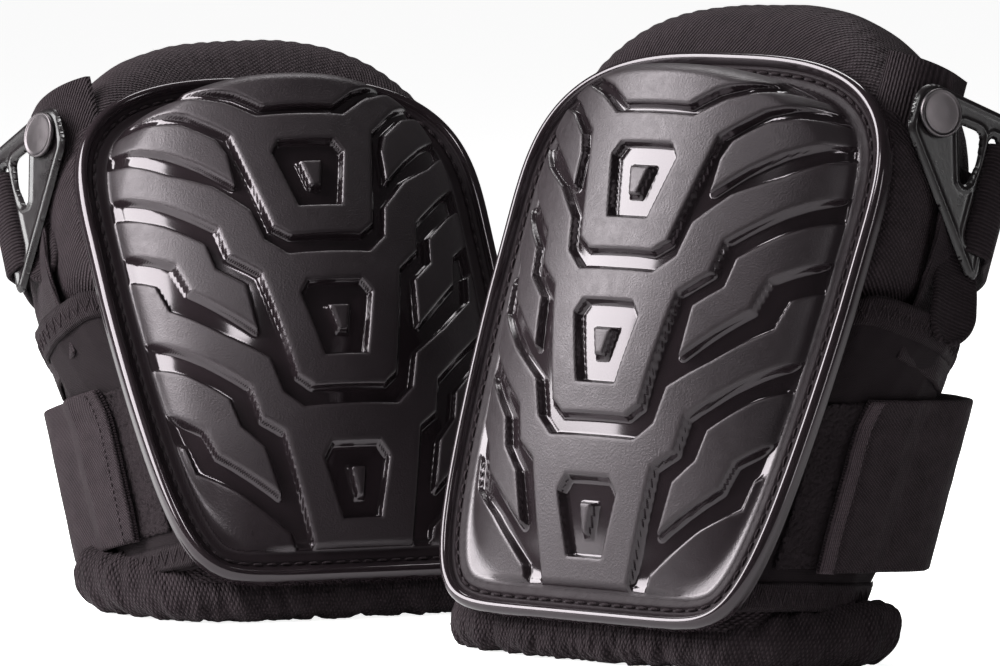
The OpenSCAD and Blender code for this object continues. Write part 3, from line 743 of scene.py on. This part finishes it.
def build_roll(pad, seed):
    """The knit roll that the pad stands on."""
    count, ring = ((420, 44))
    plan_line = spline([(79, 62), (78, 46), (72, 30), (62, 17), (48, 10.5), (28, 8.5), (0, 8),
                        (-28, 8.5), (-48, 10.5), (-62, 17), (-72, 30), (-78, 46), (-79, 62)], count)
    d = np.gradient(plan_line, axis=0)
    d /= np.linalg.norm(d, axis=1, keepdims=True)
    inner = np.stack([d[:, 1], -d[:, 0]], 1)
    s = np.linspace(0, 1, count)[:, None] * 330
    a = np.linspace(0, 2 * math.pi, ring, endpoint=False)[None]
    fold = 0.9 * bumps(s, 0 * a, seed, 26) + 0.9 * bumps(s, a * 9, seed + 1, 16) \
        + 0.5 * np.abs(bumps(s * 1.6, a * 5, seed + 2, 13))
    end = np.sqrt(np.clip(1 - (1 - np.clip(np.minimum(s, 330 - s) / 9, 0, 1)) ** 2, 0.02, 1))
    r_out = (10.5 + fold) * end
    r_up = (10.0 + fold) * end
    across = np.cos(a) * r_out
    height = 10.5 + np.sin(a) * r_up
    height = np.maximum(height, 0.48) + 0 * s
    x = plan_line[:, 0][:, None] + inner[:, 0][:, None] * (across + 6)
    y = plan_line[:, 1][:, None] + inner[:, 1][:, None] * (across + 6)
    lean = math.radians(PADS[pad]["lean"])
    z = (height - 13.4 + y * math.sin(lean)) / math.cos(lean)
    grid = np.stack([x, y, z], 2)
    lay = np.stack([s + 0 * a, a * 10 + 0 * s, 0 * s * a], 2)
    roll = piece("roll", pad, grid, quads_of(count, ring, True), MATS["mesh"], lay=lay)
    return roll


def build_padding(pad, roll):
    """Foam body and lining round the knee hollow as one knit-faced surface: closed sections stacked
    up the pad.
    """
    levels, count = ((80, 220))
    rows = []
    for k in range(levels):
        f = k / (levels - 1)
        z = 8 + 206 * f
        top = np.clip((z - 148) / 72, 0, 1)
        wide = 71.0 * (1 - top ** 2.6) ** (1 / 2.6) if top < 1 else 6
        wide -= 9.0 * float(smooth((112 - z) / 70))
        wide = max(wide, 12.0)
        shrink = 1.0 - 0.5 * smooth((z - 196) / 20)
        mouth = min(51.5, wide - 14) if wide > 22 else 6.0
        deep = 25 + 31 * smooth((z - 178) / 34)
        half = [(0, 4), (wide * 0.6, 4), (wide * 0.93, 10), (wide, 24), (wide, 46),
                (wide - 5, 54.5), (wide - 9, 59.5), (mouth + 3, 59), (mouth - 1.5, 54),
                (mouth * 0.8, (54 + deep) / 2 - 4), (mouth * 0.42, deep + 2.5), (0, deep)]
        half = [(x, 4 + (y - 4) * (shrink if y < 50 else 1)) for x, y in half]
        line = spline(half, count // 2)
        loop = np.vstack([line, line[::-1][1:-1] * [-1, 1]])
        zs = pad_z(pad, 14, loop[:, 1])
        zz = zs + (z - 8) / 206 * (214 - zs) - 6 * smooth((loop[:, 1] - 50) / 12) * f ** 3
        rows.append(np.column_stack([loop, zz]))
    grid = np.array(rows)
    cols = grid.shape[1]
    n = normals_of(grid, True)
    lay = grid_lay(grid)
    grid = grid + n * (0.5 * bumps(lay[..., 0], lay[..., 1] * 0 + np.linspace(0, 1, cols) * 400,
                                   77, 60))[..., None]
    ends = []
    for r in (0, -1):
        c = grid[r].mean(0)
        ends.append(np.vstack([[c + (grid[r] - c) * 0.5], [c + (grid[r] - c) * 0.05]]))
    grid = np.concatenate([ends[0][::-1], grid, ends[1]])
    body = piece("padding", pad, grid, quads_of(grid.shape[0], cols, True), MATS["mesh"],
                 lay=grid_lay(grid))
    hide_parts(pad + "_comfort_foam")
    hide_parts(pad + "_knee_lining")
    # gel cushion inside
    middle = 10.1
    u, v = np.meshgrid(edged(np.linspace(-43, 43, 20), 5, 5), edged(np.linspace(48, 152, 24), 5, 5),
                       indexing="ij")
    g = np.stack([u, middle + 0 * u, v], 2)
    p, q, lay = pillow(g, 9, 5)
    gel = piece("gel", pad, p, q, MATS["gel"], lay=lay)
    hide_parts(pad + "_gel_pad")


# ---------------------------------------------------------------- straps
def level(height):
    """Middle height of a strap that stays level, for band."""
    return lambda y: np.full(np.shape(y), height)


def band(path, mid, width, cols=21, edge=1.6):
    """Flat strap along a path of (x, y) points; mid gives its middle height at each point."""
    ts = edged(np.linspace(-1, 1, cols), 2 * edge / width, 2 * edge / width)
    x, y = path[:, 0][:, None], path[:, 1][:, None]
    z = mid(path[:, 1])[:, None] + ts[None] * width / 2
    return np.stack([x + 0 * z, y + 0 * z, z], 2)


def build_straps(pad, seed):
    n = 150
    z_out = 3.0
    # lower elastic: the pressed-on end and the way round behind
    ys = np.linspace(22, 50, 40)
    face = side_x(ys, STRAP_MID(ys), WING_TOP(ys), WING_HEM(ys)) + z_out
    outer = np.stack([face, ys], 1)
    away = spline([outer[-1], (75.5, 60), (75, 70), (69, 80), (58, 90)], 20)
    outer = resample(np.vstack([outer, away[1:]]), n)
    g = band(outer, STRAP_MID, ELASTIC_W, cols=31)
    under = side_x(g[..., 1], g[..., 2], WING_TOP(g[..., 1]), WING_HEM(g[..., 1])) + z_out - 0.6
    clear = 0.5 * (g[..., 0] + under + np.sqrt((g[..., 0] - under) ** 2 + 1.5))
    # behind the wing it runs free, to meet the rear strap
    held = 1 - smooth((g[..., 1] - 44) / 18)
    g[..., 0] += held * (clear - g[..., 0])
    ripple = bumps(np.linspace(0, 90, g.shape[0])[:, None], np.linspace(0, 60, g.shape[1])[None],
                   seed, 40)
    g = grow(g, 0.3 * ripple)
    p, q, lay = pillow(g, 2.0, 1.0, 90)
    strap = piece("elastic_front", pad, p, q, MATS["elastic"], body=None, lay=lay)
    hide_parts(pad + "_strap_end")
    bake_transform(strap)
    # its folded end, sewn down
    fold = g[: max(4, int(g.shape[0] * 0.085))]
    fold = grow(fold, np.full(fold.shape[:2], 1.7))
    p, q, lay = pillow(fold, 1.7, 0.9)
    # the right pad's fold takes the lighter copy of the elastic, painted light on it; the left
    # pad's fold takes the elastic
    folded = piece("elastic_fold", pad, p, q, MATS["fold"] if pad == "right" else MATS["elastic"],
                   body="strap_end", lay=lay)
    line = fold[-2]
    nn = normals_of(fold)[-2]
    nn = nn * np.sign((nn * line * [1, 0, 0]).sum())
    p, q = tubes(stitches(line + nn * 0.9, nn, 2.6, 1.9), 0.3, 5)
    piece("elastic_fold_thread", pad, p, q, MATS["thread"], body="strap_end", lay=p)
    back = spline([(58, 90), (45, 100), (24, 107), (0, 109), (-24, 107), (-45, 100), (-60, 89),
                   (-70, 76), (-76, 60), (-74, 45), (-69, 26)], n)
    g = band(back, STRAP_MID, ELASTIC_W, cols=25)
    p, q, lay = pillow(g, 2.0, 1.0, 90)
    rear = piece("elastic_back", pad, p, q, MATS["elastic"], lay=lay)
    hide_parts(pad + "_lower_strap")
    # loop patch on the wing and hook patch on the strap end
    g = wing_grid(1, 9, 66, 90, 90,
                  lambda y: STRAP_MID(y) - 28.5, lambda y: STRAP_MID(y) + 28.5, 1)
    rng = np.random.default_rng(seed)
    g = grow(g, 0.7 + 0.28 * rng.standard_normal(g.shape[:2]))
    p, q, lay = pillow(g, 1.5, 0.8)
    loop = piece("loop_pile", pad, p, q, MATS["loop"], lay=lay)
    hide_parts(pad + "_loop_patch")
    g = wing_grid(1, 26, 54, 24, 24, lambda y: STRAP_MID(y) - 27,
                  lambda y: STRAP_MID(y) + 27, 1)
    g = grow(g, np.full(g.shape[:2], 1.9))
    p, q, lay = pillow(g, 0.8, 0.4)
    hook = piece("hook_tape", pad, p, q, MATS["hook"], body="strap_end", lay=lay)
    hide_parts(pad + "_hook_patch")


def on_stud(points):
    a = math.radians(-STUD_ANGLE)
    x = HALF_W - CORNER_R + CORNER_R * math.cos(math.radians(STUD_ANGLE))
    y = CORNER_R - CORNER_R * math.sin(math.radians(STUD_ANGLE))
    turn = np.array([[math.cos(a), -math.sin(a), 0], [math.sin(a), math.cos(a), 0], [0, 0, 1]])
    return np.asarray(points, float) @ turn.T + np.array([x, y, STUD_Z])


def rounded(corners, step=0.8):
    """Closed outline with round corners, given as (y, z, radius) in order."""
    pts = np.array([c[:2] for c in corners], float)
    out = []
    for i, (y, z, r) in enumerate(corners):
        p, a, b = pts[i], pts[i - 1], pts[(i + 1) % len(pts)]
        da, db = (a - p) / np.linalg.norm(a - p), (b - p) / np.linalg.norm(b - p)
        half = 0.5 * math.acos(np.clip(da @ db, -0.999, 0.999))
        t = r / math.tan(half)
        c = p + (da + db) / np.linalg.norm(da + db) * r / math.sin(half)
        p0, p1 = p + da * t, p + db * t
        a0 = math.atan2(*(p0 - c)[::-1])
        a1 = math.atan2(*(p1 - c)[::-1])
        turn = (a1 - a0 + math.pi) % (2 * math.pi) - math.pi
        ang = a0 + turn * np.linspace(0, 1, max(4, int(abs(turn) * 10)))
        out.append(c + r * np.stack([np.cos(ang), np.sin(ang)], 1))
    out = np.vstack(out)
    return resample(np.vstack([out, out[:1]]), max(24, int(length_of(out) * 1000 / step)))[:-1]


def build_clip(pad):
    """Moulded plate with a window, a slot and a long blunt tip, hooked on the stud."""
    outer = rounded([(-9.6, 9.4, 8.2), (29, 9.6, 4.2), (31.4, -46.5, 1.8), (27.6, -46.8, 1.6),
                     (-9.4, -8.6, 7.6)])
    window = rounded([(9.2, 0.2, 1.6), (18.6, 0.6, 2.6), (20.2, -9, 7), (17.2, -22.5, 1.6)])
    slot = rounded([(22.6, 0.6, 1.2), (25.6, 0.6, 1.2), (25.6, -40.2, 1.2), (22.6, -33.5, 1.2)])
    step = 0.45
    y, z = np.meshgrid(np.arange(-11, 33, step), np.arange(-49, 12, step), indexing="ij")
    d = polygon_distance(y, z, outer)
    d = np.minimum(d, -polygon_distance(y, z, window))
    d = np.minimum(d, -polygon_distance(y, z, slot))
    # pull the grid's border points on to the outline
    gy, gz = np.gradient(d, step)
    size = np.maximum(gy ** 2 + gz ** 2, 0.25)
    near = (np.abs(d) < 0.75 * step)
    yy = np.where(near, y - d * gy / size, y)
    zz = np.where(near, z - d * gz / size, z)
    inside = np.where(near, 0.0, d)
    half = 1.3 * np.sqrt(np.clip(1 - (1 - np.clip(inside / 1.3, 0, 1)) ** 2, 0, 1))
    rib = 0.5 * np.exp(-((inside - 2.0) / 0.8) ** 2)
    keep = inside > -1e-6
    q = quads_of(*y.shape)
    q = q[keep.ravel()[q].all(1)]
    x = 4.2 + 0 * y
    top = np.stack([x + half + rib * (inside > 0.9), yy, zz], 2).reshape(-1, 3)
    low = np.stack([x - half, yy, zz], 2).reshape(-1, 3)
    n = len(top)
    pts = on_stud(np.vstack([top, low]))
    quads = np.vstack([q[:, ::-1], q + n])
    used = np.unique(quads)
    remap = np.zeros(2 * n, np.int64)
    remap[used] = np.arange(len(used))
    clip = piece("clip_plate", pad, pts[used], remap[quads], MATS["clip"], body="clip")
    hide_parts(pad + "_clip")
    # turned stud head with a thin raised rim
    prof = np.array([(0.02, 7.85), (3, 7.83), (6.2, 7.7), (6.9, 7.75), (7.25, 8.05), (7.7, 8.0),
                     (8.0, 7.6), (8.05, 6.9), (7.6, 6.1), (6.6, 5.7), (3.1, 5.5)])
    prof = spline(prof, 40)
    a = np.linspace(0, 2 * math.pi, 96, endpoint=False)[None]
    g = np.stack([prof[:, 1][:, None] + 0 * a, prof[:, 0][:, None] * np.cos(a),
                  prof[:, 0][:, None] * np.sin(a)], 2)
    head = piece("stud_cap", pad, on_stud(g.reshape(-1, 3)), quads_of(40, 96, True)[:, ::-1],
                 MATS["stud"])
    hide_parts(pad + "_stud_head")


def build_upper(pad, seed):
    n = 120
    mid = STUD_Z - WEB_DROP
    # webbing: through the slot, over the clip's outer bar and round behind the thigh
    wrap = on_stud([(1.0, 23.6, 0), (4.6, 24.0, 0), (6.3, 25.4, 0), (6.6, 28.6, 0), (6.0, 32.2, 0),
                    (3.6, 34.4, 0)])[:, :2]
    path = spline([*wrap, (81, 52), (72, 66), (58, 79), (42, 89)], n)
    g = band(path, level(mid), WEB_W)
    p, q, lay = pillow(g, 1.9, 0.9, 90)
    front = piece("webbing_front", pad, p, q, MATS["webbing"], body=None, lay=lay)
    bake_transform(front)
    path = spline([(42, 89), (22, 96), (0, 98), (-22, 96), (-42, 89), (-60, 78), (-73, 64),
                   (-79.5, 49), (-80, 32)], n)
    g = band(path, level(mid), WEB_W)
    p, q, lay = pillow(g, 1.9, 0.9, 90)
    rear = piece("webbing_back", pad, p, q, MATS["webbing"], lay=lay)
    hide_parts(pad + "_upper_strap")
    # free tongue, from behind the slot, hanging down; on the left pad it is tucked up short
    rows = 90
    t = np.linspace(0, 1, rows)
    fall = [(0.4, 24, -30), (0.9, 24.4, -43), (3.4, 24.8, -52), (6.0, 24.6, -61),
            (6.6, 24.2, -71)] if pad == "right" else [(0.4, 19, -24), (0.6, 18, -32),
                                                       (1.2, 17, -40), (1.8, 16.5, -47)]
    centre = spline(fall, rows)
    w = 9.0 * np.sqrt(np.clip(1 - (np.clip((t - 0.72) / 0.28, 0, 1)) ** 2.2, 0.01, 1))
    k = edged(np.linspace(-1, 1, 25), 0.12, 0.12)
    g = centre[:, None] + np.array([0.0, 1.0, 0.0]) * (w[:, None] * k[None])[..., None]
    g[..., 0] += (k[None] ** 2) * 1.6 * smooth((t[:, None] - 0.3) / 0.4) \
        + 0.3 * bumps(t[:, None] * 55, k[None] * 12, seed, 30)
    g = on_stud(g.reshape(-1, 3)).reshape(g.shape)
    p, q, lay = pillow(g, 2.4, 1.2)
    tongue = piece("webbing_tongue", pad, p, q, MATS["webbing"], body="tongue", lay=lay)
    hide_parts(pad + "_strap_tongue")
    build_clip(pad)


for pad, seed in (("right", 11), ("left", 31)):
    build_cap(pad)
    build_cover(pad, seed)
    build_side(pad, 1, "outer", seed + 1)
    build_side(pad, -1, "inner", seed + 2)
    build_padding(pad, build_roll(pad, seed + 3))
    build_straps(pad, seed + 4)
    build_upper(pad, seed + 5)
    for part, look in (("stud_post", "stud"), ("stud_washer", "stud"), ("stud_patch", "gusset")):
        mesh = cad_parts[f"{pad}_{part}"].data
        if mesh.materials:
            mesh.materials[0] = MATS[look]
        else:
            mesh.materials.append(MATS[look])
        if look == "gusset":
            co = np.zeros(len(mesh.vertices) * 3, np.float32)
            mesh.vertices.foreach_get("co", co)
            a = mesh.attributes.new("lay", "FLOAT_VECTOR", "POINT")
            a.data.foreach_set("vector", co * 1000)

# ---------------------------------------------------------------- camera, floor and light
camera = bpy.data.cameras.new("camera")
camera.lens = 287.5
camera.sensor_width = 36.0
camera.clip_end = 50
view = bpy.data.objects.new("camera", camera)
bpy.context.scene.collection.objects.link(view)
view.location = (-0.0026, -2.7202, 0.3171)
view.rotation_euler = (math.radians(90 - 4.64), 0, 0)
bpy.context.scene.camera = view

floor_mesh = bpy.data.meshes.new("floor")
r = 6.0
floor_mesh.from_pydata([(-r, -r, 0), (r, -r, 0), (r, r, 0), (-r, r, 0)], [], [(0, 1, 2, 3)])
floor = bpy.data.objects.new("floor", floor_mesh)
bpy.context.scene.collection.objects.link(floor)
m, n, l, bsdf = material("paper_floor")
grain = noise(n, l, place_vector(n), 40.0)
l.new(ramp(n, l, grain, [(0.3, (0.93, 0.93, 0.93)), (0.7, (0.96, 0.96, 0.96))]),
      bsdf.inputs["Base Color"])
bsdf.inputs["Roughness"].default_value = 0.9
bsdf.inputs["Emission Color"].default_value = (1, 1, 1, 1)
seen = n.new("ShaderNodeLightPath")
l.new(span(n, l, seen.outputs["Is Camera Ray"], 0, 1, 0.06, 0.9), bsdf.inputs["Emission Strength"])
floor_mesh.materials.append(m)

world = bpy.data.worlds.new("studio")
world.use_nodes = True
bpy.context.scene.world = world
wn, wl = world.node_tree.nodes, world.node_tree.links
back = wn["Background"]
back.inputs["Color"].default_value = (1, 1, 1, 1)
path = wn.new("ShaderNodeLightPath")
power = wn.new("ShaderNodeMapRange")
power.inputs["To Min"].default_value = 0.05
power.inputs["To Max"].default_value = 1.05
wl.new(path.outputs["Is Camera Ray"], power.inputs["Value"])
wl.new(power.outputs["Result"], back.inputs["Strength"])


def softbox(name, at, aim, size, watts):
    lamp = bpy.data.lights.new(name, "AREA")
    lamp.shape = "RECTANGLE"
    lamp.size, lamp.size_y = size
    lamp.energy = watts
    obj = bpy.data.objects.new(name, lamp)
    bpy.context.scene.collection.objects.link(obj)
    obj.location = at
    d = np.array(aim, float) - np.array(at, float)
    z = -d / np.linalg.norm(d)
    x = np.cross([0, 0, 1], z)
    x /= np.linalg.norm(x)
    y = np.cross(z, x)
    obj.rotation_euler = Matrix(
        ((x[0], y[0], z[0]), (x[1], y[1], z[1]), (x[2], y[2], z[2]))).to_euler()
    return obj


softbox("left_box", (-1.04, -0.2, 0.74), (0, 0, 0.1), (0.75, 1.15), 42)
softbox("front_box", (-0.15, -1.15, 1.3), (0.02, 0, 0.1), (0.3, 0.3), 5)
softbox("right_edge", (1.3, -0.75, 0.35), (0.05, 0, 0.1), (0.12, 0.9), 3)
softbox("top_box", (0.1, 0.7, 1.3), (0, 0, 0.1), (0.8, 0.3), 7)

bpy.context.scene.view_settings.view_transform = "Standard"
